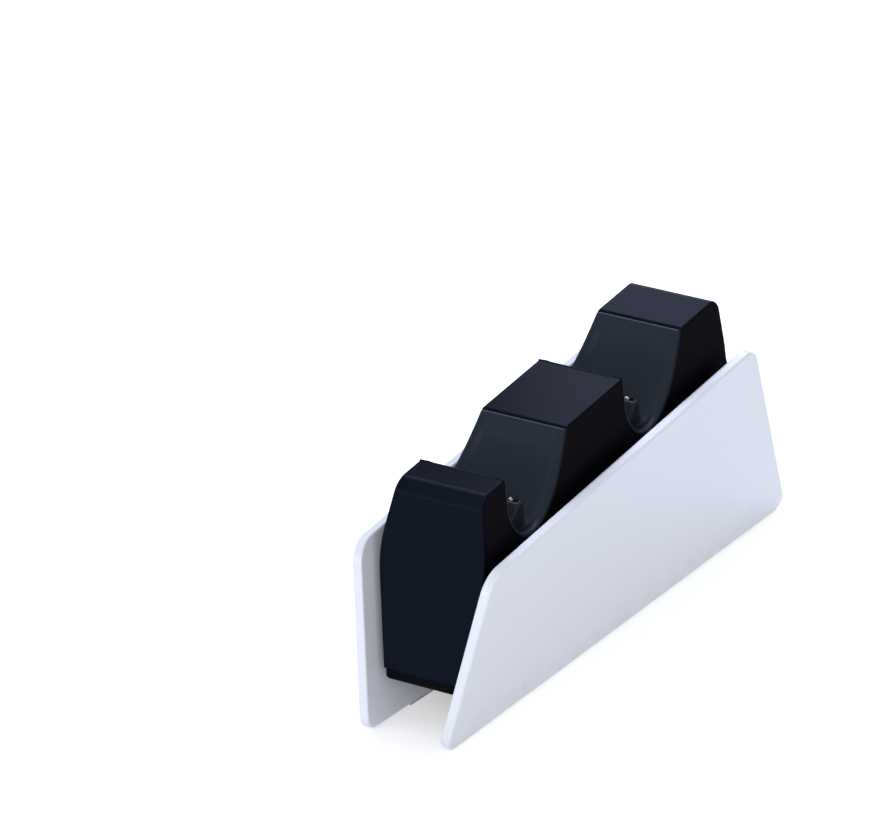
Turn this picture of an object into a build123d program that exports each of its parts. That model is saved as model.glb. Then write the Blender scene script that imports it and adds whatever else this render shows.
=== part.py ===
from build123d import *
import os
from math import cos, radians, sin, sqrt, tan

os.makedirs("parts", exist_ok=True)

# Slopes shared by the body and the side panels, in degrees; all lengths are in millimetres
line_angle = 6.8
front_lean = 12.0
rear_lean = 31.7
side_lean = 10.2

# Body section, with heights taken from the inclined line through the origin
top_height = 71.2
top_half_width = 12.5
belt_height = 53.5
belt_half_width = 15.9
belt_round = 33.0

# Body in side view
front_foot_y = -84.3
rear_face_y = 45.3
tail_foot_y = 82.0
seam_z = 15.4
front_round = 5.0
rear_round = 3.2
tail_round = 8.0
edge_round = 0.5
wall = 2.4

# Cradle notches
cradle_pitch = 57.0
notch_front_y = -59.35
notch_length = 27.9
notch_depth = 16.6
notch_radius = 8.7
notch_wall_lean = 8.0
notch_ramp = 40.0
cradle_wall = 2.0
cradle_rim = 1.1
cradle_skin = 0.9
rim_round = 0.8
lip_width = 2.1
lip_round = 2.6
dish_depth = 0.9
dish_round = 1.5

# Contact blocks, measured from the front rim of a notch
crest_back = 10.4
crest_drop = 10.8
crest_flat = 2.6
block_front_run = 5.5
block_rear_run = 3.1
block_half_length = 10.3
block_end_round = 3.0
block_round = 0.7
block_seat_drop = 22.0
flange_thickness = 1.4
flange_width = 1.6

# Sprung contacts
contact_half_spacing = 7.2
contact_tip_radius = 0.7
contact_collar_radius = 1.2
contact_collar_height = 1.2
contact_proud = 0.6
contact_slot_length = 4.4
contact_slot_width = 1.9
contact_slot_depth = 0.7
contact_guide = 2.6
contact_clearance = 0.15
contact_stop_gap = 0.1
spring_outer_radius = 1.15
spring_wire = 0.35
spring_turns = 7

# Contact boards
contact_board_length = 22.0
contact_board_width = 11.5
contact_board_thickness = 1.2
contact_screw_half_spacing = 3.0

# Side panels and their feet
panel_thickness = 2.8
panel_gap = 1.85
panel_top_height = 55.9
panel_front_foot_y = -89.1
panel_rear_foot_y = 89.1
panel_bottom_z = 0.3
panel_top_front_round = 7.5
panel_top_rear_round = 7.8
panel_bottom_round = 3.0
panel_edge_round = 0.6
pad_radius = 4.0
pad_places = ((-62.0, 40.0), (-10.0, 37.0), (38.0, 36.0))
foot_places = (-58.0, 52.0)
foot_length = 22.0
foot_width = 1.5
foot_height = 1.4

# Base cover
base_thickness = 3.0
base_step = 0.15
base_round = 1.2
base_lip_height = 2.5
base_lip_thickness = 1.4
base_fit = 0.15
base_boss_radius = 2.9
base_boss_height = 11.0
front_boss_y = -71.5
front_boss_half_spacing = 5.0
rear_boss_y = 36.0
rib_thickness = 1.8

# Main board and what it carries
board_z = 19.0
board_front_y = -47.0
board_rear_y = 27.0
board_width = 11.0
board_thickness = 1.6
post_radius = 2.4
post_inset = 4.0
chip_size = 6.0
chip_height = 1.0
chip_y = -26.0
coil_size = 6.5
coil_height = 3.2
coil_y = -17.0
capacitor_radius = 2.6
capacitor_height = 6.0
capacitor_places = (-9.0, -2.5)
connector_size = 5.0
front_connector_y = -36.0
inlet_connector_y = 16.0

# Power inlet
inlet_z = 26.0
inlet_face_y = 60.0
inlet_pocket_radius = 6.0
inlet_pocket_wall = 1.6
inlet_body_radius = 4.0
inlet_body_length = 12.0
inlet_flange_radius = 5.2
inlet_flange_thickness = 1.2
inlet_bore_radius = 2.85
inlet_bore_depth = 9.5
inlet_pin_radius = 1.0
inlet_nut_flats = 10.0
inlet_nut_thickness = 2.0

# Inner leads
lead_radius = 1.1
lead_bend = 3.0
inlet_lead_z = 33.5
inlet_lead_drop_y = 43.0

# Screws, with holes a little wider than their shanks
screw_fit = 0.05
small_screw_radius = 0.8
small_screw_length = 5.0
small_head_radius = 1.5
small_head_height = 1.1
screw_radius = 1.1
screw_length = 10.0
screw_head_radius = 2.2
screw_head_height = 1.4
panel_screw_bite = 1.7

rise = tan(radians(line_angle))
side_slope = tan(radians(side_lean))
base_bottom_z = seam_z - base_thickness
reach = 130.0
half_span = 40.0
side_normal = Vector(1, rise * side_slope, -side_slope).normalized()


def top_z(y):
    return top_height + rise * y


def front_y(z):
    return front_foot_y + z * tan(radians(front_lean))


def tail_y(z):
    return tail_foot_y - z * tan(radians(rear_lean))


def rounded(points, radii):
    """Closed outline with each corner rounded by its own radius."""
    face = make_face(Polyline(*points, close=True))
    for point, radius in zip(points, radii):
        if radius > 0:
            face = fillet(face.vertices().sort_by_distance((*point, 0))[0], radius)
    return face


def grown(face, amount):
    return offset(face, amount=amount, kind=Kind.INTERSECTION) if amount else face


def across(sketch, half=half_span):
    """A side-view shape carried across the width."""
    return extrude(Plane.YZ * sketch, amount=half, both=True)


def lengthwise(sketch):
    """A section carried along the inclined line, kept upright."""
    start = Plane(origin=(0, -reach, -reach * rise), x_dir=(1, 0, 0), z_dir=(0, -1, 0))
    return extrude(start * sketch, amount=2 * reach * sqrt(1 + rise**2), dir=(0, 1, rise))


def body_section(inset):
    spare = 15.0
    upper_slope = (belt_half_width - top_half_width) / (top_height - belt_height)
    high = (top_half_width - spare * upper_slope, top_height + spare)
    low = (belt_half_width - side_slope * (belt_height + spare), -spare)
    right = [high, (belt_half_width, belt_height), low]
    points = right + [(-x, z) for x, z in reversed(right)]
    return grown(rounded(points, (0, belt_round, 0, 0, belt_round, 0)), -inset)


def body_outline(inset, bottom):
    lean = tan(radians(front_lean))
    corner_y = (front_foot_y + lean * top_height) / (1 - lean * rise)
    knee_z = (tail_foot_y - rear_face_y) / tan(radians(rear_lean))
    points = [
        (front_y(bottom), bottom),
        (corner_y, top_z(corner_y)),
        (rear_face_y, top_z(rear_face_y)),
        (rear_face_y, knee_z),
        (tail_y(bottom), bottom),
    ]
    return grown(rounded(points, (0, front_round, rear_round, tail_round, 0)), -inset)


rim = Vector(notch_front_y, top_z(notch_front_y))
notch_down = Vector(-sin(radians(notch_wall_lean)), -cos(radians(notch_wall_lean)))
notch_wall = (notch_depth - notch_radius * (1 - notch_down.X)) / -notch_down.Y
notch_turn = rim + notch_down * notch_wall
notch_center = notch_turn + Vector(-notch_down.Y, notch_down.X) * notch_radius


rear_rim = Vector(notch_front_y + notch_length, top_z(notch_front_y + notch_length))
ramp_start = (cos(radians(notch_ramp)), sin(radians(notch_ramp)))
floor_turn = 90 + notch_ramp + notch_wall_lean
floor_arc = CenterArc((notch_center.X, notch_center.Y), notch_radius, 180 - notch_wall_lean, floor_turn)
ramp_arc = TangentArc((floor_arc @ 1), rear_rim, tangent=ramp_start)


def notch_region(amount):
    """Side view of the front notch: leaning wall, round floor and curved ramp, grown outwards."""
    spare = 14.0
    above_front = rim - notch_down * spare
    above_rear = (ramp_arc @ 1) + (ramp_arc % 1) * spare
    edges = [
        Line(above_front, floor_arc @ 0),
        floor_arc,
        ramp_arc,
        Line(ramp_arc @ 1, above_rear),
        Line(above_rear, above_front),
    ]
    return grown(make_face(edges), amount)


def floor_z(y):
    return notch_center.Y - sqrt(notch_radius**2 - (y - notch_center.X) ** 2)


def upright(x, y, z0, z1, radius):
    return Pos(x, y, (z0 + z1) / 2) * Cylinder(radius, z1 - z0)


def block(x0, x1, y0, y1, z0, z1):
    return Pos((x0 + x1) / 2, (y0 + y1) / 2, (z0 + z1) / 2) * Box(x1 - x0, y1 - y0, z1 - z0)


def side_plane(y, h, out):
    """Plane on the body's lower right side, moved outwards."""
    x = belt_half_width - side_slope * (belt_height - h)
    origin = Vector(x, y, h + rise * y) + side_normal * out
    return Plane(origin=origin, x_dir=(0, 1, rise), z_dir=side_normal)


def rod(plane, start, end, radius):
    return plane * Pos(0, 0, (start + end) / 2) * Cylinder(radius, end - start)


def screw_up(x, y, z, shank, length, head, height):
    """Screw driven upwards, with its head's seat at z and a slot in the head."""
    body = upright(x, y, z, z + length, shank) + upright(x, y, z - height, z, head)
    return body - block(x - head, x + head, y - head / 6, y + head / 6, z - height, z - height / 2)


def small_screw(x, y, z, length):
    return screw_up(x, y, z, small_screw_radius, length, small_head_radius, small_head_height)


def mirrored(shape):
    return mirror(shape, about=Plane.YZ)


to_rear = Pos(0, cradle_pitch, rise * cradle_pitch)


# Outer shape of the body, with the whole side rim softly rounded
def is_rim(edge):
    start, end = edge @ 0, edge @ 1
    height = start.Z - rise * start.Y
    level = abs(height - (end.Z - rise * end.Y)) < 0.001
    straight_over = abs(start.Y - end.Y) < 0.001 and abs(start.Z - end.Z) < 0.001
    at_bottom = max(start.Z, end.Z) < 0.001
    return not (straight_over or at_bottom or (level and height < top_height - 1))


sharp_envelope = lengthwise(body_section(0)) & across(body_outline(0, 0))
envelope = fillet(sharp_envelope.edges().filter_by(is_rim), edge_round)

# Contact block: wedge-shaped ridge, plug through the cradle floor and curved flange beneath
crest_y = rim.X + crest_back
crest_z = rim.Y - crest_drop
block_front = crest_y - block_front_run
block_rear = crest_y + block_rear_run
block_mid = (block_front + block_rear) / 2
block_seat = rim.Y - block_seat_drop
shoulder_z = crest_z - contact_guide
wedge = across(
    make_face(
        Polyline(
            (block_front, block_seat),
            (block_front, floor_z(block_front)),
            (crest_y - crest_flat / 2, crest_z),
            (crest_y + crest_flat / 2, crest_z),
            (block_rear, floor_z(block_rear)),
            (block_rear, block_seat),
            close=True,
        )
    ),
    block_half_length,
)
wedge = fillet(wedge.edges().filter_by(Axis.Z), block_end_round)
wedge = fillet(wedge.edges().filter_by(lambda edge: (edge @ 0.5).Z > floor_z(block_front) + 0.1), block_round)


def flange(extra, side):
    """Curved plate that follows the underside of the cradle floor."""
    half = block_half_length + flange_width + side
    plate = across(notch_region(cradle_wall + flange_thickness + extra) - notch_region(cradle_wall), half)
    edge = flange_width + side
    return plate & block(-half, half, block_front - edge, block_rear + edge, 0, rim.Y)


def window(clearance):
    """Opening for the contact block's plug."""
    length = 2 * (block_half_length + clearance)
    width = block_rear - block_front + 2 * clearance
    sketch = RectangleRounded(length, width, block_end_round + clearance)
    return Pos(0, block_mid, block_seat - 5) * extrude(sketch, amount=crest_drop + block_seat_drop)


small_hole = small_screw_radius + screw_fit
screw_hole = screw_radius + screw_fit
tip_bore = contact_tip_radius + contact_clearance
collar_bore = contact_collar_radius + contact_clearance
contact_screw_end = block_seat + small_screw_length - contact_board_thickness + screw_fit
contact_block = wedge + flange(0, 0)
for side in (-1, 1):
    x = side * contact_half_spacing
    slot = SlotOverall(contact_slot_length, contact_slot_width)
    contact_block -= Pos(x, crest_y, crest_z - contact_slot_depth) * extrude(slot, amount=1)
    contact_block -= upright(x, crest_y, shoulder_z, crest_z + 1, tip_bore)
    contact_block -= upright(x, crest_y, block_seat - 1, shoulder_z, collar_bore)
    x = side * contact_screw_half_spacing
    contact_block -= upright(x, block_mid, block_seat - 1, contact_screw_end, small_hole)

# Sprung contact: rounded tip, shaft and collar held below the shoulder of its bore
collar_top = shoulder_z - contact_stop_gap
collar_bottom = collar_top - contact_collar_height
tip = upright(0, crest_y, collar_top, crest_z + contact_proud, contact_tip_radius)
tip = fillet(tip.edges().group_by(Axis.Z)[-1], contact_tip_radius * 0.9)
contact = tip + upright(0, crest_y, collar_bottom, collar_top, contact_collar_radius)

# Coil spring between the collar and the contact board, drawn as close-set rings
spring_height = collar_bottom - block_seat
turn_height = spring_height / spring_turns
ring_points = [(spring_outer_radius - spring_wire, 0)]
for turn in range(spring_turns):
    ring_points.append((spring_outer_radius - spring_wire / 2, turn * turn_height))
    ring_points.append((spring_outer_radius, (turn + 0.5) * turn_height))
ring_points.append((spring_outer_radius - spring_wire / 2, spring_height))
ring_points.append((spring_outer_radius - spring_wire, spring_height))
ring_section = Plane.XZ * make_face(Polyline(*ring_points, close=True))
spring = Pos(0, crest_y, block_seat) * revolve(ring_section, Axis.Z)

# Contact board with its two screws
board_underside = block_seat - contact_board_thickness
contact_board = Pos(0, block_mid, block_seat - contact_board_thickness / 2) * Box(
    contact_board_length, contact_board_width, contact_board_thickness
)
contact_screws = []
for side in (-1, 1):
    x = side * contact_screw_half_spacing
    contact_board -= upright(x, block_mid, board_underside - 1, block_seat + 1, small_hole)
    contact_screws.append(small_screw(x, block_mid, board_underside, small_screw_length))
contact_screws = Compound(contact_screws)

# Cradle liner: thin at its rim, which covers the housing's edge, and thicker inside
def seat_core(amount):
    """Part of the grown notch that lies inside the housing's skin."""
    top = lengthwise(Pos(0, top_height - cradle_skin - half_span) * Rectangle(2 * half_span, 2 * half_span))
    return lengthwise(body_section(cradle_skin)) & top & across(notch_region(amount))


seat = across(notch_region(cradle_rim)) + seat_core(cradle_wall)
open_notch = across(notch_region(0))
cradle = (sharp_envelope & seat) - open_notch


def lies_on(edge, *shapes):
    points = [edge @ 0.2, edge @ 0.5, edge @ 0.8]
    return all(min(face.distance_to(point) for face in shape.faces()) < 0.01 for shape in shapes for point in points)


def is_liner_rim(edge):
    """Edge along the liner's sides or over the ramp, or at a corner of the hump's top."""
    start, end = edge @ 0, edge @ 1
    at_top = min(start.Z - rise * start.Y, end.Z - rise * end.Y) > top_height - 0.01
    if at_top and abs(start.Y - end.Y) > 0.01:
        return min(abs(start.X), abs(end.X)) > top_half_width - 0.01
    return lies_on(edge, open_notch, sharp_envelope) and not (at_top and start.Y < notch_center.X)


cradle = fillet(cradle.edges().filter_by(is_liner_rim), rim_round)

# Dished middle of the liner, which stops short of the top of the ramp and runs out at the front wall
ramp_end = ramp_arc % 1
ramp_plane = Plane(origin=(rear_rim.X, rear_rim.Y, 0), x_dir=(ramp_end.X, ramp_end.Y, 0), z_dir=(0, 0, 1))
ramp_border = ramp_plane * Pos(half_span - lip_width, 0) * Rectangle(2 * half_span, 4 * half_span)
dish = lengthwise(body_section(lip_width)) & across(notch_region(dish_depth) - ramp_border)


def is_dish_rim(edge):
    ends = [edge @ 0, edge @ 1]
    heights = [end.Z - rise * end.Y for end in ends]
    over_ramp = min(end.Y for end in ends) > notch_center.X
    along_side = abs((edge @ 0.5).X) > 1 and abs(heights[0] - heights[1]) > 0.001
    return min(heights) < top_height and (over_ramp or along_side)


dish = fillet(dish.edges().filter_by(is_dish_rim), dish_round)
cradle -= dish
cradle = fillet(cradle.edges().filter_by(lambda edge: lies_on(edge, open_notch, dish)), lip_round)
cradle -= window(base_fit)

# Main housing: hollow shell with three humps, seats for the cradles, bosses and the inlet pocket
cavity = lengthwise(body_section(wall)) & across(body_outline(wall, 0))
housing = envelope
for place in (Pos(), to_rear):
    housing -= place * seat
    housing -= place * flange(base_fit, base_fit)
    housing -= place * window(2 * base_fit)
    cavity -= place * across(notch_region(cradle_wall + wall))
housing -= cavity

boss_top = seam_z + base_boss_height
rib_bottom = seam_z + base_lip_height + 1
boss_places = [(side * front_boss_half_spacing, front_boss_y) for side in (-1, 1)] + [(0, rear_boss_y)]
bosses = [upright(x, y, seam_z, boss_top, base_boss_radius) for x, y in boss_places]
half_rib = rib_thickness / 2
ribs = [block(x - half_rib, x + half_rib, front_foot_y, y, rib_bottom, boss_top) for x, y in boss_places[:2]]
ribs.append(block(-half_span, half_span, rear_boss_y - half_rib, rear_boss_y + half_rib, rib_bottom, boss_top))
pocket = inlet_pocket_radius + inlet_pocket_wall
ribs.append(block(-pocket, pocket, inlet_face_y - wall, tail_foot_y, inlet_z - pocket, inlet_z + pocket))
for shape in bosses + ribs:
    housing += shape & envelope
inlet_plane = Plane(origin=(0, inlet_face_y, inlet_z), x_dir=(1, 0, 0), z_dir=(0, 1, 0))
housing -= rod(inlet_plane, 0, tail_foot_y, inlet_pocket_radius)
housing -= rod(inlet_plane, -2 * wall, 1, inlet_body_radius + screw_fit)
head_seat = base_bottom_z + screw_head_height
for x, y in boss_places:
    housing -= upright(x, y, seam_z - 1, head_seat + screw_length + screw_fit, screw_hole)
for y, h in pad_places:
    hole = rod(side_plane(y, h, 0), -2 * wall, wall, screw_hole)
    housing = housing - hole - mirrored(hole)
housing = split(housing, bisect_by=Plane.XY.offset(seam_z), keep=Keep.TOP)


# Base cover: set-back plate with a rounded lower edge, a locating lip and posts for the board
def base_layer(inset, z0, z1):
    layer = lengthwise(body_section(inset)) & across(body_outline(inset, 0))
    return layer & block(-half_span, half_span, -reach, reach, z0, z1)


base = base_layer(base_step, base_bottom_z, seam_z)
base = fillet(base.edges().filter_by(lambda edge: (edge @ 0.5).Z < seam_z - 0.1), base_round)
lip_outer = wall + base_fit
lip_top = seam_z + base_lip_height
lip = base_layer(lip_outer, seam_z, lip_top) - base_layer(lip_outer + base_lip_thickness, seam_z, lip_top)
for x, y in boss_places:
    lip -= upright(x, y, seam_z, lip_top, base_boss_radius + base_fit)
post_places = [board_front_y + post_inset, board_rear_y - post_inset]
base += lip
for y in post_places:
    base += upright(0, y, seam_z, board_z, post_radius)
    base -= upright(0, y, board_z - small_screw_length - screw_fit, board_z + 1, small_hole)
base_screws = []
for x, y in boss_places:
    base -= upright(x, y, base_bottom_z - 1, head_seat, screw_head_radius + screw_fit)
    base -= upright(x, y, head_seat, seam_z + 1, screw_hole)
    screw = screw_up(x, y, head_seat, screw_radius, screw_length, screw_head_radius, screw_head_height)
    base_screws.append(screw)
base_screws = Compound(base_screws)

# Side panel with seating pads on its inner face and slots for the feet
outer_plane = side_plane(0, 0, panel_gap + panel_thickness)


def on_panel(y, z):
    """Point of the panel's outer face, in the panel's own flat coordinates."""
    x = outer_plane.origin.X + side_slope * (z - rise * y)
    x += (outer_plane.origin.Y * rise * side_slope - outer_plane.origin.Z * side_slope)
    point = outer_plane.to_local_coords(Vector(x, y, z))
    return (point.X, point.Y)


panel_front_tan = tan(radians(front_lean))
panel_rear_tan = tan(radians(rear_lean))
top_front_y = (panel_front_foot_y + panel_front_tan * panel_top_height) / (1 - panel_front_tan * rise)
top_rear_y = (panel_rear_foot_y - panel_rear_tan * panel_top_height) / (1 + panel_rear_tan * rise)
panel_corners = [
    on_panel(panel_front_foot_y + panel_front_tan * panel_bottom_z, panel_bottom_z),
    on_panel(top_front_y, panel_top_height + rise * top_front_y),
    on_panel(top_rear_y, panel_top_height + rise * top_rear_y),
    on_panel(panel_rear_foot_y - panel_rear_tan * panel_bottom_z, panel_bottom_z),
]
panel_rounds = (panel_bottom_round, panel_top_front_round, panel_top_rear_round, panel_bottom_round)
panel_outline = outer_plane * rounded(panel_corners, panel_rounds)
panel = extrude(panel_outline, amount=panel_thickness, dir=-side_normal)
panel_edges = panel.edges().filter_by(lambda edge: abs((edge % 0.5).dot(side_normal)) < 0.5)
panel = fillet(panel_edges, panel_edge_round)

panel_screws = []
for y, h in pad_places:
    seat = side_plane(y, h, 0)
    panel += rod(seat, 0, panel_gap + panel_thickness / 2, pad_radius)
    panel -= rod(seat, 0, panel_gap + panel_screw_bite + screw_fit, screw_hole)
    shank = rod(seat, -wall, panel_gap + panel_screw_bite, screw_radius)
    panel_screws.append(shank + rod(seat, -wall - screw_head_height, -wall, screw_head_radius))
panel_screws = Compound(panel_screws)

feet = []
for y in foot_places:
    ends = (y - foot_length / 2, y + foot_length / 2)
    outline = [on_panel(end, -2) for end in ends] + [on_panel(end, foot_height) for end in reversed(ends)]
    inset = (panel_thickness - foot_width) / 2
    foot_plane = Plane(outer_plane.origin - side_normal * inset, outer_plane.x_dir, outer_plane.z_dir)
    foot = extrude(foot_plane * rounded(outline, (0, 0, 0, 0)), amount=foot_width, dir=-side_normal)
    panel -= foot
    feet.append(split(foot, bisect_by=Plane.XY, keep=Keep.TOP))

# Main board and its parts
board_top = board_z + board_thickness
main_board = block(-board_width / 2, board_width / 2, board_front_y, board_rear_y, board_z, board_top)
main_board_screws = []
for y in post_places:
    main_board -= upright(0, y, board_z - 1, board_top + 1, small_hole)
    screw = Rot(180, 0, 0) * small_screw(0, 0, 0, small_screw_length + board_thickness)
    main_board_screws.append(Pos(0, y, board_top) * screw)
main_board_screws = Compound(main_board_screws)
charge_chip = Pos(0, chip_y, board_top + chip_height / 2) * Box(chip_size, chip_size, chip_height)
charge_coil = Pos(0, coil_y, board_top + coil_height / 2) * Box(coil_size, coil_size, coil_height)
capacitors = Compound(
    [upright(0, y, board_top, board_top + capacitor_height, capacitor_radius) for y in capacitor_places]
)
rear_connector_y = block_mid + cradle_pitch
connector_top = board_top + connector_size
connectors = Compound(
    [
        Pos(0, y, board_top + connector_size / 2) * Box(connector_size, connector_size, connector_size)
        for y in (front_connector_y, rear_connector_y, inlet_connector_y)
    ]
)

# Power inlet: flanged barrel with a bore and a centre pin, held by a nut inside the pocket wall
inlet = rod(inlet_plane, 0, inlet_flange_thickness, inlet_flange_radius)
inlet += rod(inlet_plane, -inlet_body_length, inlet_flange_thickness, inlet_body_radius)
bore_bottom = inlet_flange_thickness - inlet_bore_depth
inlet -= rod(inlet_plane, bore_bottom, inlet_flange_thickness, inlet_bore_radius)
inlet_pin = rod(inlet_plane, bore_bottom, -inlet_flange_thickness, inlet_pin_radius)
nut_plane = inlet_plane.offset(-wall - inlet_nut_thickness)
nut_outline = RegularPolygon(inlet_nut_flats / 2, 6, major_radius=False)
inlet_nut = extrude(nut_plane * nut_outline, amount=inlet_nut_thickness)
inlet_nut -= rod(inlet_plane, -2 * wall - inlet_nut_thickness, 0, inlet_body_radius + screw_fit)


# Inner leads, each run with rounded bends between its two ends
def lead(points):
    path = FilletPolyline(*points, radius=lead_bend) if len(points) > 2 else Line(*points)
    direction = path % 0
    return sweep(Plane(origin=points[0], z_dir=direction) * Circle(lead_radius), path=path)


front_lead_z = (connector_top + board_underside) / 2
front_lead = lead(
    [
        (0, front_connector_y, connector_top),
        (0, front_connector_y, front_lead_z),
        (0, block_mid, front_lead_z),
        (0, block_mid, board_underside),
    ]
)
rear_lead = lead(
    [(0, rear_connector_y, connector_top), (0, rear_connector_y, board_underside + rise * cradle_pitch)]
)
inlet_lead = lead(
    [
        (0, inlet_connector_y, connector_top),
        (0, inlet_connector_y, inlet_lead_z),
        (0, inlet_lead_drop_y, inlet_lead_z),
        (0, inlet_lead_drop_y, inlet_z),
        (0, inlet_face_y - inlet_body_length, inlet_z),
    ]
)

# Everything is moved so that the origin lies under the middle of the whole object
parts = {
    "main_housing": housing,
    "base_cover": base,
    "right_side_panel": panel,
    "left_side_panel": mirrored(panel),
    "right_panel_screws": panel_screws,
    "left_panel_screws": mirrored(panel_screws),
    "right_front_foot": feet[0],
    "right_rear_foot": feet[1],
    "left_front_foot": mirrored(feet[0]),
    "left_rear_foot": mirrored(feet[1]),
    "base_screws": base_screws,
    "main_board": main_board,
    "main_board_screws": main_board_screws,
    "charge_chip": charge_chip,
    "charge_coil": charge_coil,
    "capacitors": capacitors,
    "lead_connectors": connectors,
    "front_lead": front_lead,
    "rear_lead": rear_lead,
    "inlet_lead": inlet_lead,
    "power_inlet": inlet,
    "inlet_pin": inlet_pin,
    "inlet_nut": inlet_nut,
}
for end, place in (("front", Pos()), ("rear", to_rear)):
    parts[end + "_cradle"] = place * cradle
    parts[end + "_contact_block"] = place * contact_block
    parts[end + "_contact_board"] = place * contact_board
    parts[end + "_contact_board_screws"] = place * contact_screws
    for side, x in (("left", -contact_half_spacing), ("right", contact_half_spacing)):
        parts[end + "_" + side + "_contact"] = place * Pos(x, 0, 0) * contact
        parts[end + "_" + side + "_spring"] = place * Pos(x, 0, 0) * spring

middle_y = panel.bounding_box().center().Y
for name, shape in parts.items():
    export_step(Pos(0, -middle_y, 0) * shape, "parts/" + name + ".step")
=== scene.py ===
import math

import bmesh
import bpy
from mathutils import Matrix, Vector


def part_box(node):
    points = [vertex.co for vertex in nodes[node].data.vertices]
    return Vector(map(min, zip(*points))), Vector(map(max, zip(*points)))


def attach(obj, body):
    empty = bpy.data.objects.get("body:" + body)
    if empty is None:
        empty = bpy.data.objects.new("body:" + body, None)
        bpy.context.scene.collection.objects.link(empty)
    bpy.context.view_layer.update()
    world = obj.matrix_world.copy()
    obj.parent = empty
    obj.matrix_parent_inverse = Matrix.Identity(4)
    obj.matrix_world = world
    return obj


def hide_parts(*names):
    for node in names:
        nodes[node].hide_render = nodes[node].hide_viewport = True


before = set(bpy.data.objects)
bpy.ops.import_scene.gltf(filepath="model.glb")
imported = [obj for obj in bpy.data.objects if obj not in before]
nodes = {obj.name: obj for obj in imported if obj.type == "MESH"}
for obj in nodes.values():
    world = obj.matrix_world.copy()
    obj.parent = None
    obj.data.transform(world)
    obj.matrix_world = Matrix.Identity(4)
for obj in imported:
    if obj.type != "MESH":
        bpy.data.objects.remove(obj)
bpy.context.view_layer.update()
scene = bpy.context.scene

# Lengths are in metres, and this is one millimetre
MM = 0.001


class Value:
    """A socket whose arithmetic adds Math nodes to its own material."""

    def __init__(self, finish, socket):
        self.finish = finish
        self.socket = socket

    def math(self, operation, *inputs):
        return self.finish.node("ShaderNodeMath", {"operation": operation}, dict(enumerate(inputs)))

    def __add__(self, other):
        return self.math("ADD", self, other)

    def __radd__(self, other):
        return self.math("ADD", other, self)

    def __sub__(self, other):
        return self.math("SUBTRACT", self, other)

    def __rsub__(self, other):
        return self.math("SUBTRACT", other, self)

    def __mul__(self, other):
        return self.math("MULTIPLY", self, other)

    def __rmul__(self, other):
        return self.math("MULTIPLY", other, self)

    def over(self, low, high):
        """0 below low, 1 above high, and a soft step between them."""
        settings = {"interpolation_type": "SMOOTHSTEP"}
        inputs = {"Value": self, "From Min": low, "From Max": high}
        return self.finish.node("ShaderNodeMapRange", settings, inputs)


class Finish:
    """One procedural material on Object coordinates."""

    def __init__(self, name):
        self.material = bpy.data.materials.new(name)
        self.material.use_nodes = True
        self.tree = self.material.node_tree
        self.tree.nodes.clear()
        self.place = self.node("ShaderNodeTexCoord", output="Object")

    def node(self, kind, settings=None, inputs=None, output=0):
        """A new node with its settings, then the values or links of its sockets."""
        made = self.tree.nodes.new(kind)
        for key, value in (settings or {}).items():
            setattr(made, key, value)
        for key, value in (inputs or {}).items():
            if isinstance(value, Value):
                self.tree.links.new(value.socket, made.inputs[key])
            else:
                made.inputs[key].default_value = value
        return Value(self, made.outputs[output]) if made.outputs else None

    def stretched(self, scale, turn=(0, 0, 0)):
        """Object coordinates scaled along each axis, and turned."""
        inputs = {"Vector": self.place, "Scale": scale, "Rotation": turn}
        return self.node("ShaderNodeMapping", None, inputs)

    def noise(self, scale, detail=2.0, roughness=0.5, place=None):
        """Cloudy noise from 0 to 1, with so many lumps in a metre."""
        inputs = {
            "Vector": place or self.place,
            "Scale": scale,
            "Detail": detail,
            "Roughness": roughness,
        }
        return self.node("ShaderNodeTexNoise", None, inputs)

    def cells(self, scale):
        """Distance pattern of scattered cells."""
        return self.node("ShaderNodeTexVoronoi", None, {"Vector": self.place, "Scale": scale})

    def bands(self, direction, scale):
        """Even waves along one axis."""
        inputs = {"Vector": self.place, "Scale": scale}
        return self.node("ShaderNodeTexWave", {"bands_direction": direction}, inputs)

    def axes(self, place):
        """The x, y and z of a place or a direction."""
        split = self.node("ShaderNodeSeparateXYZ", None, {"Vector": place})
        return [Value(self, socket) for socket in split.socket.node.outputs]

    def sideways(self, low, high):
        """1 where the surface faces left or right, and 0 where it faces up or along."""
        across = self.axes(self.node("ShaderNodeTexCoord", output="Normal"))[0]
        return across.math("ABSOLUTE", across).over(low, high)

    def mix(self, factor, first, second):
        """Colour between two others."""
        made = self.tree.nodes.new("ShaderNodeMix")
        made.data_type = "RGBA"
        ends = [s for s in made.inputs if s.type == "RGBA"]
        for socket, value in zip([made.inputs[0]] + ends, (factor, first, second)):
            if isinstance(value, Value):
                self.tree.links.new(value.socket, socket)
            else:
                socket.default_value = value if socket.type == "VALUE" else (*value, 1.0)
        return Value(self, next(s for s in made.outputs if s.type == "RGBA"))

    def bump(self, height, depth):
        """Normal of a surface whose relief is so many metres deep."""
        inputs = {"Height": height, "Distance": depth, "Strength": 1.0}
        return self.node("ShaderNodeBump", None, inputs)

    def surface(self, **inputs):
        """The material's own shader, with its inputs named by their sockets."""
        named = {key.replace("_", " "): value for key, value in inputs.items()}
        shader = self.node("ShaderNodeBsdfPrincipled", None, named)
        self.node("ShaderNodeOutputMaterial", None, {"Surface": shader})
        return self.material


# What a moulded skin is made of: shares of its shade and relief, and where it is rubbed
CLOUD_SHADE = 0.7
PORE_SHADE = 0.3
PORE_RELIEF = 0.6
CELL_RELIEF = 0.4
CLOUD_SCALE = 38
WEAR_SCALE = 120
WORN = (0.52, 0.75)
CELLS_PER_PORE = 1.7


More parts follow.
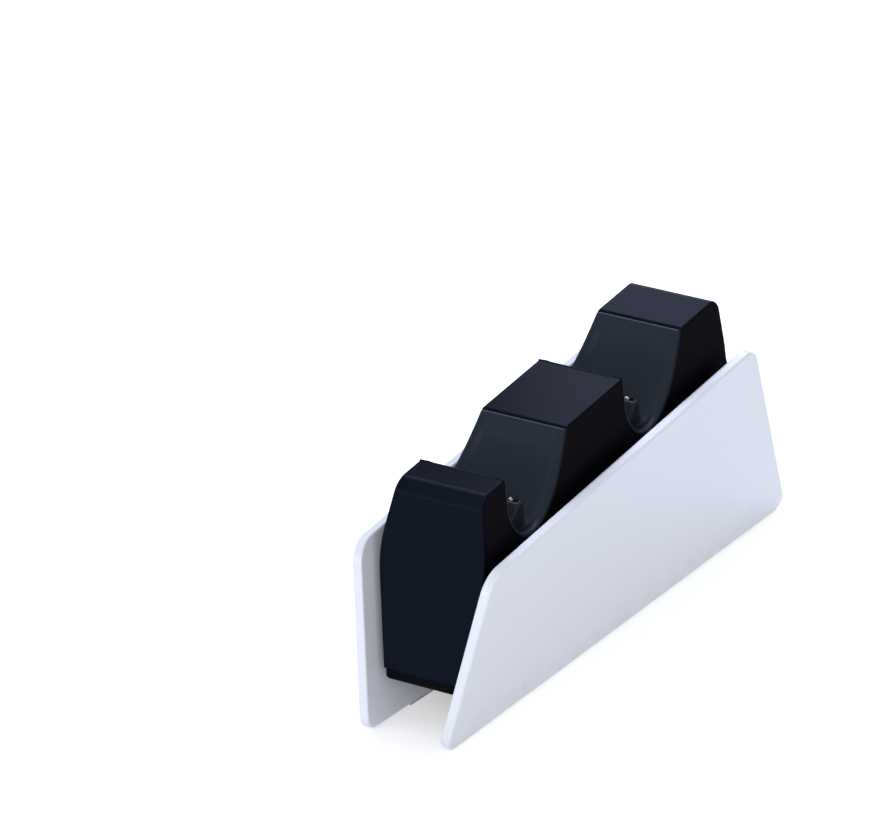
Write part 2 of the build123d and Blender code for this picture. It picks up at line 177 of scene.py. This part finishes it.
def moulded_skin(f, pores, cells, uneven, clouds=CLOUD_SCALE, wear=WEAR_SCALE, worn=WORN):
    """Shade, relief and change of roughness of a moulding; uneven is by pores, clouds and wear."""
    flow = f.noise(clouds, detail=4, roughness=0.55)
    pitting = f.noise(pores, detail=3, roughness=0.6)
    rubbed = f.noise(wear, detail=3, roughness=0.6).over(*worn)
    by_pores, by_clouds, by_wear = uneven
    shade = flow * CLOUD_SHADE + pitting * PORE_SHADE
    relief = pitting * PORE_RELIEF + f.cells(cells) * CELL_RELIEF
    change = (pitting - 0.5) * by_pores + (flow - 0.5) * by_clouds - rubbed * by_wear
    return shade, relief, change


def moulded_plastic(name, dark, light, gloss, grain, depth, specular):
    """Moulded plastic with a fine spark-eroded grain, faint flow clouds and rubbed patches."""
    f = Finish(name)
    shade, relief, change = moulded_skin(f, grain, grain * CELLS_PER_PORE, (0.16, 0.10, 0.05))
    return f.surface(
        Base_Color=f.mix(shade, dark, light),
        Roughness=gloss + change,
        Normal=f.bump(relief, depth),
        Specular_IOR_Level=specular,
    )


def housing_black():
    """Near-black plastic, satin on the tops and ends and matt on the flanks; its colour holds painted
    light: lighter and a little blue on the tops and ends, darker on the flanks as painted shade.
    """
    f = Finish("body_black")
    side = f.sideways(0.55, 0.85)
    shade, relief, change = moulded_skin(f, pores=2600, cells=4400, uneven=(0.08, 0.06, 0.03))
    # Painted light: the tops and ends get a lighter, bluer colour, and the flanks a darker one as painted
    # shade
    satin_painted_lit = f.mix(shade, (0.0044, 0.0062, 0.0128), (0.0058, 0.0082, 0.0164))
    matt_painted_shade = f.mix(shade, (0.0014, 0.0013, 0.0028), (0.0022, 0.0020, 0.0042))
    return f.surface(
        Base_Color=f.mix(side, satin_painted_lit, matt_painted_shade),
        Roughness=0.19 + side * 0.23 + change,
        Normal=f.bump(relief * (0.4 + side * 0.6), 0.01 * MM),
        Specular_IOR_Level=0.012,
    )


def cradle_slate():
    """Satin slate plastic of the liners, with painted shade: darker on the rim where it turns sideways
    into the flanks.
    """
    f = Finish("cradle_slate")
    rim_painted_shade = f.sideways(0.62, 0.88)
    shade, relief, change = moulded_skin(
        f, pores=2000, cells=3400, uneven=(0.14, 0.10, 0.05), clouds=45, wear=140, worn=(0.55, 0.78)
    )
    slate = f.mix(shade, (0.0108, 0.0164, 0.0262), (0.0148, 0.0216, 0.0328))
    return f.surface(
        # Painted shade: where the rim faces sideways its colour goes dark, like the flanks of the housing
        Base_Color=f.mix(rim_painted_shade, slate, (0.004, 0.0048, 0.0075)),
        Roughness=0.40 + change,
        Normal=f.bump(relief, 0.01 * MM),
        Specular_IOR_Level=0.12,
    )


def panel_white():
    """Pale gloss plastic: faint orange peel, hairline scratches and a little dust low down."""
    f = Finish("panel_white")
    height = f.axes(f.place)[2]
    peel = f.noise(420, detail=2, roughness=0.4)
    fine = f.noise(3200, detail=2, roughness=0.5)
    cloud = f.noise(22, detail=3, roughness=0.5)
    drawn = f.stretched((40, 60, 2600), turn=(0.5, 0.2, 0.1))
    hairline = f.noise(1.0, place=drawn).over(0.68, 0.8) * f.noise(60).over(0.5, 0.7)
    dusty = f.noise(260, detail=4, roughness=0.6).over(0.45, 0.7)
    dust = (1 - height.over(0.0, 14 * MM)) * dusty
    clean = f.mix(cloud * 0.8 + fine * 0.2, (0.70, 0.72, 0.79), (0.735, 0.752, 0.815))
    rough = 0.30 + (cloud - 0.5) * 0.12 + fine * 0.05 + hairline * 0.12 + dust * 0.2
    relief = peel * 0.9 + fine * 0.1 - hairline * 0.05
    return f.surface(
        Base_Color=f.mix(dust * 0.10, clean, (0.50, 0.48, 0.45)),
        Roughness=rough,
        Normal=f.bump(relief, 0.02 * MM),
        Coat_Weight=0.25,
        Coat_Roughness=0.12,
    )


def plated_metal(name, dark, light, gloss):
    """Plated or drawn metal with fine turning marks and dull spots."""
    f = Finish(name)
    spots = f.noise(900, detail=4, roughness=0.6)
    marks = f.noise(1.0, place=f.stretched((400, 400, 9000)))
    return f.surface(
        Base_Color=f.mix(spots, dark, light),
        Roughness=gloss + (spots - 0.5) * 0.14 + (marks - 0.5) * 0.1,
        Normal=f.bump(marks, 0.004 * MM),
        Metallic=1.0,
    )


def board_green():
    """Circuit board: woven glass under green lacquer, with copper tracks showing through."""
    f = Finish("board_green")
    weave = f.bands("X", 420.0)
    cross = f.bands("Y", 420.0)
    layout = {"offset": 0.5, "squash": 0.6, "squash_frequency": 3}
    sizes = {
        "Vector": f.place,
        "Scale": 1.0,
        "Mortar Size": 0.35 * MM,
        "Mortar Smooth": 0.1,
        "Brick Width": 7 * MM,
        "Row Height": 2.1 * MM,
    }
    tracks = f.node("ShaderNodeTexBrick", layout, sizes, output="Fac")
    cloud = f.noise(150, detail=3)
    shade = cloud * 0.6 + weave * cross * 0.4
    lacquer = f.mix(shade, (0.006, 0.06, 0.022), (0.012, 0.10, 0.035))
    return f.surface(
        Base_Color=f.mix(tracks * 0.55, lacquer, (0.05, 0.19, 0.06)),
        Roughness=0.34 + (cloud - 0.5) * 0.12 + weave * 0.05,
        Normal=f.bump(tracks * 0.8 + weave * cross * 0.2, 0.03 * MM),
    )


def foot_rubber():
    """Pale rubber with a matt skin and a bloom of dust."""
    f = Finish("foot_rubber")
    skin = f.noise(2600, detail=3, roughness=0.6)
    bloom = f.noise(180, detail=4, roughness=0.6)
    return f.surface(
        Base_Color=f.mix(bloom, (0.50, 0.51, 0.53), (0.62, 0.63, 0.65)),
        Roughness=0.74 + (skin - 0.5) * 0.2 + (bloom - 0.5) * 0.1,
        Normal=f.bump(skin, 0.03 * MM),
        Specular_IOR_Level=0.3,
    )


finishes = {
    "body_black": housing_black(),
    "base_black": moulded_plastic(
        "base_black",
        dark=(0.0020, 0.0022, 0.0034),
        light=(0.0032, 0.0035, 0.0050),
        gloss=0.50,
        grain=1500,
        depth=0.03 * MM,
        specular=0.02,
    ),
    "cradle_slate": cradle_slate(),
    "block_slate": moulded_plastic(
        "block_slate",
        dark=(0.0130, 0.0175, 0.0260),
        light=(0.0170, 0.0225, 0.0320),
        gloss=0.34,
        grain=2600,
        depth=0.01 * MM,
        specular=0.15,
    ),
    "part_black": moulded_plastic(
        "part_black",
        dark=(0.010, 0.010, 0.011),
        light=(0.018, 0.018, 0.019),
        gloss=0.45,
        grain=1800,
        depth=0.02 * MM,
        specular=0.2,
    ),
    "connector_white": moulded_plastic(
        "connector_white",
        dark=(0.62, 0.59, 0.52),
        light=(0.70, 0.67, 0.60),
        gloss=0.42,
        grain=1600,
        depth=0.02 * MM,
        specular=0.4,
    ),
    "lead_black": moulded_plastic(
        "lead_black",
        dark=(0.008, 0.008, 0.009),
        light=(0.014, 0.014, 0.015),
        gloss=0.48,
        grain=1400,
        depth=0.02 * MM,
        specular=0.3,
    ),
    "panel_white": panel_white(),
    "contact_metal": plated_metal(
        "contact_metal", dark=(0.34, 0.33, 0.31), light=(0.50, 0.49, 0.46), gloss=0.24
    ),
    "spring_steel": plated_metal(
        "spring_steel", dark=(0.40, 0.40, 0.41), light=(0.56, 0.56, 0.57), gloss=0.30
    ),
    "screw_steel": plated_metal(
        "screw_steel", dark=(0.36, 0.36, 0.38), light=(0.54, 0.54, 0.56), gloss=0.33
    ),
    "board_green": board_green(),
    "foot_rubber": foot_rubber(),
}

# Nodes whose finish differs from their slot's usual one
own_finish = {"front_contact_block": "block_slate", "rear_contact_block": "block_slate"}
for name, node in nodes.items():
    for slot in node.material_slots:
        usual = slot.material.name.split(".")[0]
        slot.link = "OBJECT"
        slot.material = finishes[own_finish.get(name, usual)]

# Side view of a notch, measured from its front rim: leaning wall, round floor and curved ramp
LINE_RISE = math.tan(math.radians(6.8))
WALL_LEAN = math.radians(8.0)
RAMP_START = math.radians(40.0)
NOTCH_LENGTH = 27.9 * MM
NOTCH_DEPTH = 16.6 * MM
FLOOR_RADIUS = 8.7 * MM
wall_down = Vector((-math.sin(WALL_LEAN), -math.cos(WALL_LEAN)))
wall_out = Vector((-wall_down.y, wall_down.x))
wall_length = (NOTCH_DEPTH - FLOOR_RADIUS * (1 - wall_down.x)) / -wall_down.y
floor_middle = wall_down * wall_length + wall_out * FLOOR_RADIUS
floor_run = FLOOR_RADIUS * (math.pi / 2 + RAMP_START + WALL_LEAN)
ramp_side = Vector((-math.sin(RAMP_START), math.cos(RAMP_START)))
ramp_foot = floor_middle - ramp_side * FLOOR_RADIUS
ramp_reach = Vector((NOTCH_LENGTH, NOTCH_LENGTH * LINE_RISE)) - ramp_foot
ramp_radius = ramp_reach.length_squared / (2 * ramp_reach.dot(ramp_side))
ramp_run = 2 * ramp_radius * math.asin(ramp_reach.length / (2 * ramp_radius))
notch_run = wall_length + floor_run + ramp_run

# Outline of the housing below its top line: straight flank, then the round belt
TOP_HALF_WIDTH = 12.5 * MM
FLANK_SLOPE = 3.4 / 17.7
BELT_RADIUS = 33.0 * MM
BELT_MIDDLE = Vector((-17.666, 17.895)) * MM
BELT_START = 11.67 * MM

# Liner: rounded rim, raised lips along the sides and a dished middle that fades out up the ramp
RIM_ROUND = 0.8 * MM
LIP_START = 1.2 * MM
LIP_END = 4.0 * MM
DISH_DEPTH = 0.9 * MM
DISH_FADE = 9.0 * MM
LINER_EDGE = 0.08 * MM
LINER_THICKNESS = 0.9 * MM
THICKENING_START = 1.0 * MM
THICKENING_WIDTH = 1.0 * MM
LINER_ACROSS = 72
LINER_ALONG = 110

# Where the contacts stand, measured from the front rim of their notch
CREST_BACK = 10.4 * MM
CREST_DROP = 10.8 * MM
CONTACT_PROUD = 0.6 * MM

# How far the opening in the liner stays inside the outline of the contact block
BLOCK_INSET = 2.4 * MM


def soft_step(value):
    """0 to 1 with soft ends."""
    value = min(max(value, 0.0), 1.0)
    return value * value * (3 - 2 * value)


def notch_point(along):
    """Point of the side view so far from the front rim, and the way out of the surface there."""
    if along < wall_length:
        return wall_down * along, wall_out
    if along < wall_length + floor_run:
        middle, radius = floor_middle, FLOOR_RADIUS
        angle = math.pi - WALL_LEAN + (along - wall_length) / FLOOR_RADIUS
    else:
        middle, radius = ramp_foot + ramp_side * ramp_radius, ramp_radius
        angle = RAMP_START - math.pi / 2 + (along - wall_length - floor_run) / ramp_radius
    out = -Vector((math.cos(angle), math.sin(angle)))
    return middle - out * radius, out


def half_width(drop):
    """Half width of the housing so far below its top line."""
    if drop < BELT_START:
        return TOP_HALF_WIDTH + drop * FLANK_SLOPE
    return BELT_MIDDLE.x + math.sqrt(BELT_RADIUS**2 - (drop - BELT_MIDDLE.y) ** 2)


def liner_place(across, along, under):
    """Place on the liner, from the middle of the front rim; under is 0 on its face and 1 behind."""
    point, out = notch_point(along)
    half = half_width(point.x * LINE_RISE - point.y)
    x = half * across
    side_gap = half - abs(x)
    top_gap = notch_run - along
    dished = soft_step((side_gap - LIP_START) / (LIP_END - LIP_START))
    over_side = max(RIM_ROUND - side_gap, 0.0)
    over_top = max(RIM_ROUND - top_gap, 0.0)
    over_front = max(RIM_ROUND - along, 0.0) * (1 - dished)
    turned = min(over_side**2 + over_top**2 + over_front**2, RIM_ROUND**2)
    sink = RIM_ROUND - math.sqrt(RIM_ROUND**2 - turned)
    sink += DISH_DEPTH * dished * soft_step(top_gap / DISH_FADE)
    edge_gap = min(side_gap, top_gap, along)
    deep = soft_step((edge_gap - THICKENING_START) / THICKENING_WIDTH)
    sink += under * (LINER_EDGE + (LINER_THICKNESS - LINER_EDGE) * deep)
    place = point - out * sink
    return Vector((x, place.x, place.y))


def closer_to_edges(value):
    """Spreads -1 to 1 so that rows of a grid crowd towards both ends."""
    return math.sin(value * math.pi / 2)


def cradle_liner(end):
    """One liner as a closed shell, with an opening under the contact block."""
    low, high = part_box(end + "_left_contact")
    rim_painted_shade = Vector((0, (low[1] + high[1]) / 2 - CREST_BACK, high[2] + CREST_DROP - CONTACT_PROUD))
    block_low, block_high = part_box(end + "_contact_block")
    mesh = bmesh.new()
    bmesh.ops.create_grid(mesh, x_segments=LINER_ACROSS, y_segments=LINER_ALONG, size=1.0)
    for vert in mesh.verts:
        along = notch_run * (1 + closer_to_edges(vert.co.y)) / 2
        vert.co = (closer_to_edges(vert.co.x), along, 0)
    opening = []
    for face in mesh.faces:
        middle = face.calc_center_median()
        place = rim_painted_shade + liner_place(middle.x, middle.y, 0)
        inside = [
            block_low[axis] + BLOCK_INSET < place[axis] < block_high[axis] - BLOCK_INSET for axis in (0, 1)
        ]
        if all(inside) and place.z < block_high[2]:
            opening.append(face)
    bmesh.ops.delete(mesh, geom=opening, context="FACES")
    behind = bmesh.ops.extrude_face_region(mesh, geom=mesh.faces[:])["geom"]
    for vert in [item for item in behind if isinstance(item, bmesh.types.BMVert)]:
        vert.co.z = 1.0
    for vert in mesh.verts:
        vert.co = rim_painted_shade + liner_place(*vert.co)
    bmesh.ops.recalc_face_normals(mesh, faces=mesh.faces[:])
    for face in mesh.faces:
        face.smooth = True
    data = bpy.data.meshes.new(end + "_liner")
    mesh.to_mesh(data)
    mesh.free()
    data.materials.append(finishes["cradle_slate"])
    piece = bpy.data.objects.new(end + "_liner", data)
    scene.collection.objects.link(piece)
    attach(piece, "dock")
    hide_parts(end + "_cradle")


for end in ("front", "rear"):
    cradle_liner(end)

# Camera: long lens, a little above the object and to its right
CAMERA_PLACE = Vector((0.79481, -1.31666, 0.71713))
CAMERA_BACK = Vector((0.49354425, -0.7751037, 0.39449756))
CAMERA_ROLL = math.radians(-0.54071)
CAMERA_LENS = 265.007
SENSOR_WIDTH = 36.0
NEAREST_SEEN = 0.05
camera_data = bpy.data.cameras.new("photo_camera")
camera_data.sensor_fit = "HORIZONTAL"
camera_data.sensor_width = SENSOR_WIDTH
camera_data.lens = CAMERA_LENS
camera_data.clip_start = NEAREST_SEEN
camera = bpy.data.objects.new("photo_camera", camera_data)
facing = (-CAMERA_BACK).to_track_quat("-Z", "Y").to_matrix()
turn = facing @ Matrix.Rotation(CAMERA_ROLL, 3, "Z")
camera.matrix_world = Matrix.Translation(CAMERA_PLACE) @ turn.to_4x4()
scene.collection.objects.link(camera)
scene.camera = camera


def seen_directly(finish):
    """1 for rays from the camera and for what shows in reflections or through glass."""
    path = finish.node("ShaderNodeLightPath").socket.node.outputs
    seen = Value(finish, path["Is Camera Ray"])
    for kind in ("Is Glossy Ray", "Is Transmission Ray"):
        seen = seen.math("MAXIMUM", seen, Value(finish, path[kind]))
    return seen


# Floor: a wide pale sheet that lifts to white where it is looked at and keeps the shadow
FLOOR_HALF = 6.0
FLOOR_COLOUR = (0.86, 0.86, 0.86, 1.0)
FLOOR_LIFT = 0.40
WHITE = (1.0, 1.0, 1.0, 1.0)
floor_mesh = bmesh.new()
bmesh.ops.create_grid(floor_mesh, x_segments=1, y_segments=1, size=FLOOR_HALF)
floor_data = bpy.data.meshes.new("floor")
floor_mesh.to_mesh(floor_data)
floor_mesh.free()
floor = bpy.data.objects.new("floor", floor_data)
scene.collection.objects.link(floor)
pale = Finish("floor_pale")
paper = pale.node("ShaderNodeBsdfDiffuse", None, {"Color": FLOOR_COLOUR})
lift = seen_directly(pale) * FLOOR_LIFT
glow = pale.node("ShaderNodeEmission", None, {"Color": WHITE, "Strength": lift})
lifted = pale.node("ShaderNodeAddShader", None, {0: paper, 1: glow})
pale.node("ShaderNodeOutputMaterial", None, {"Surface": lifted})
floor_data.materials.append(pale.material)

# World: an even soft fill, a little cool
FILL_COLOUR = (0.92, 0.955, 1.0, 1.0)
FILL_LEVEL = 0.70
world = bpy.data.worlds.new("studio")
scene.world = world
world.use_nodes = True
fill = world.node_tree.nodes["Background"]
fill.inputs["Color"].default_value = FILL_COLOUR
fill.inputs["Strength"].default_value = FILL_LEVEL

# The point that every lamp faces
OBJECT_MIDDLE = Vector((0, 0, 0.05))


def softbox(name, place, size, brightness, colour):
    """A rectangular lamp of so much brightness, facing the middle of the dock."""
    width, height = size
    lamp_data = bpy.data.lights.new(name, "AREA")
    lamp_data.shape = "RECTANGLE"
    lamp_data.size = width
    lamp_data.size_y = height
    lamp_data.energy = brightness * math.pi * width * height
    lamp_data.color = colour
    lamp = bpy.data.objects.new(name, lamp_data)
    aim = (OBJECT_MIDDLE - Vector(place)).to_track_quat("-Z", "Y").to_matrix()
    lamp.matrix_world = Matrix.Translation(place) @ aim.to_4x4()
    lamp.visible_camera = False
    scene.collection.objects.link(lamp)


softbox(
    "rear_left_softbox",
    place=(-0.174, 0.467, 0.38),
    size=(0.30, 0.30),
    brightness=4.8,
    colour=(0.66, 0.71, 1.0),
)
softbox(
    "overhead_strip",
    place=(-0.294, 0.177, 0.518),
    size=(0.30, 0.10),
    brightness=11.0,
    colour=(0.68, 0.74, 1.0),
)
softbox(
    "front_left_strip",
    place=(-0.44, -0.845, 0.23),
    size=(0.5, 0.09),
    brightness=8.0,
    colour=(0.72, 0.82, 1.0),
)
softbox(
    "front_right_softbox",
    place=(0.50, -1.20, 0.55),
    size=(0.7, 0.7),
    brightness=4.2,
    colour=(1.0, 0.98, 0.96),
)

scene.view_settings.view_transform = "Standard"
